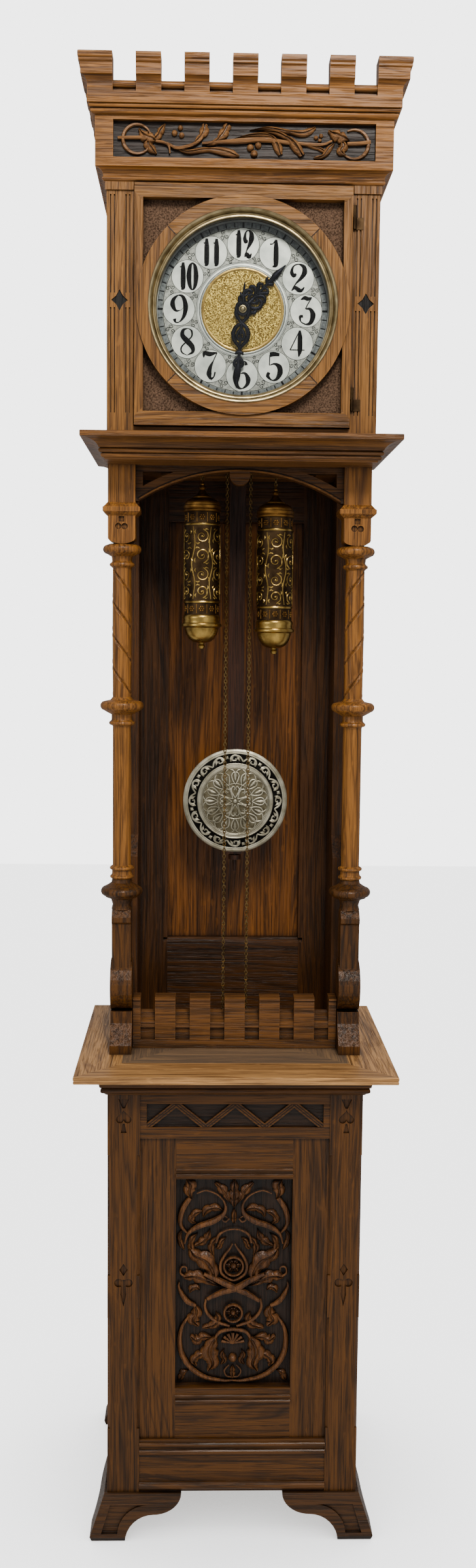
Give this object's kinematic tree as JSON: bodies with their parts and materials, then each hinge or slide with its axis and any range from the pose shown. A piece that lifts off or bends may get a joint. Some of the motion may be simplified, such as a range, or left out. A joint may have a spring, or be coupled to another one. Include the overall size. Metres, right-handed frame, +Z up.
{
  "type": "grandfather clock",
  "caption": "Tall oak hall clock with a hinged glazed dial door, open trunk on turned columns, drum weights on chains and a long pendulum.",
  "frame": {"origin": "on the floor under the middle of the bounding box", "axes": "+Z up, front faces -Y, +X to the right seen from the front"},
  "size_m": [0.528, 0.45, 2.4185],
  "materials": {
    "oak": "waxed open-grained oak",
    "dark_oak": "shaded oak",
    "light_oak": "golden oak",
    "brass": "aged brass",
    "silver": "silvered brass",
    "blued": "blackened steel",
    "glass": "clear",
    "spandrel": "dark stippled"
  },
  "bodies": {
    "case": {"feet_front": "dark_oak", "feet_back": "dark_oak", "plinth_board": "oak", "stile_left": "oak", "stile_right": "oak", "case_side_left": "oak", "case_side_right": "oak", "case_back": "dark_oak", "case_floor": "dark_oak", "lattice_rail": "oak", "case_frame": "oak", "carved_panel": "dark_oak", "table_moulding": "oak", "table_top": "light_oak", "gallery": "light_oak", "console_left": "oak", "console_right": "oak", "column_left": "light_oak", "column_right": "light_oak", "cap_left": "light_oak", "cap_right": "light_oak", "arch_board": "oak", "trunk_wall_left": "dark_oak", "trunk_wall_right": "dark_oak", "trunk_frame": "dark_oak", "trunk_panel": "dark_oak", "mid_cornice": "light_oak", "pilaster_left": "light_oak", "pilaster_right": "light_oak", "hood_side_left": "light_oak", "hood_side_right": "light_oak", "hood_back": "dark_oak", "hood_rails": "light_oak", "bed_moulding": "light_oak", "frieze": "light_oak", "hood_top": "dark_oak", "crown": "light_oak", "case_leaves": "brass", "dial": "silver", "dial_centre": "brass", "works_frame": "brass"},
    "door": {"door_frame": "light_oak", "spandrel_plate": "spandrel", "bezel": "brass", "glass": "glass", "door_leaves": "brass"},
    "hour_hand": {"hour_hand": "blued"},
    "minute_hand": {"minute_hand": "blued"},
    "sprocket_left": {"sprocket_left": "brass"},
    "sprocket_right": {"sprocket_right": "brass"},
    "escape_wheel": {"escape_wheel": "brass"},
    "anchor": {"anchor": "blued"},
    "pendulum": {"pendulum_rod": "dark_oak", "bob": "silver"},
    "weight_left": {"weight_left": "brass", "weight_chain_left": "brass"},
    "weight_right": {"weight_right": "brass", "weight_chain_right": "brass"},
    "chain_left": {"chain_left": "brass"},
    "chain_right": {"chain_right": "brass"}
  },
  "joints": [
    {"name": "door_hinge", "type": "hinge", "parent": "case", "child": "door", "pos_m": [0.1745, -0.148, 2.05], "axis": [0, 0, 1], "range_deg": [0, 110]},
    {"name": "hour_hand_turn", "type": "hinge", "parent": "case", "child": "hour_hand", "pos_m": [0, -0.14, 2.05], "axis": [0, 1, 0], "continuous": true},
    {"name": "minute_hand_turn", "type": "hinge", "parent": "case", "child": "minute_hand", "pos_m": [0, -0.14, 2.05], "axis": [0, 1, 0], "continuous": true},
    {"name": "pendulum_swing", "type": "hinge", "parent": "case", "child": "pendulum", "pos_m": [0, 0.065, 2.125], "axis": [0, 1, 0], "range_deg": [-4, 4]},
    {"name": "anchor_rock", "type": "hinge", "parent": "case", "child": "anchor", "pos_m": [0, 0, 2.125], "axis": [0, 1, 0], "range_deg": [-4, 4]},
    {"name": "escape_wheel_turn", "type": "hinge", "parent": "case", "child": "escape_wheel", "pos_m": [0, 0, 2.087], "axis": [0, 1, 0], "continuous": true},
    {"name": "weight_left_drop", "type": "slide", "parent": "case", "child": "weight_left", "axis": [0, 0, 1], "range_m": [-0.32, 0]},
    {"name": "weight_right_drop", "type": "slide", "parent": "case", "child": "weight_right", "axis": [0, 0, 1], "range_m": [-0.32, 0]},
    {"name": "chain_left_run", "type": "slide", "parent": "case", "child": "chain_left", "axis": [0, 0, 1], "range_m": [0, 0.32]},
    {"name": "chain_right_run", "type": "slide", "parent": "case", "child": "chain_right", "axis": [0, 0, 1], "range_m": [0, 0.32]},
    {"name": "sprocket_left_turn", "type": "hinge", "parent": "case", "child": "sprocket_left", "pos_m": [-0.041, 0, 1.995], "axis": [0, 1, 0], "range_deg": [-873.09, 873.09]},
    {"name": "sprocket_right_turn", "type": "hinge", "parent": "case", "child": "sprocket_right", "pos_m": [0.041, 0, 1.995], "axis": [0, 1, 0], "range_deg": [-873.09, 873.09]}
  ],
  "couplings": [
    {"joint": "hour_hand_turn", "follows": "minute_hand_turn", "ratio": 0.083333},
    {"joint": "anchor_rock", "follows": "pendulum_swing", "ratio": 1},
    {"joint": "chain_left_run", "follows": "weight_left_drop", "ratio": -1},
    {"joint": "chain_right_run", "follows": "weight_right_drop", "ratio": -1},
    {"joint": "sprocket_left_turn", "follows": "weight_left_drop", "rad_per_m": 47.619},
    {"joint": "sprocket_right_turn", "follows": "weight_right_drop", "rad_per_m": -47.619}
  ]
}
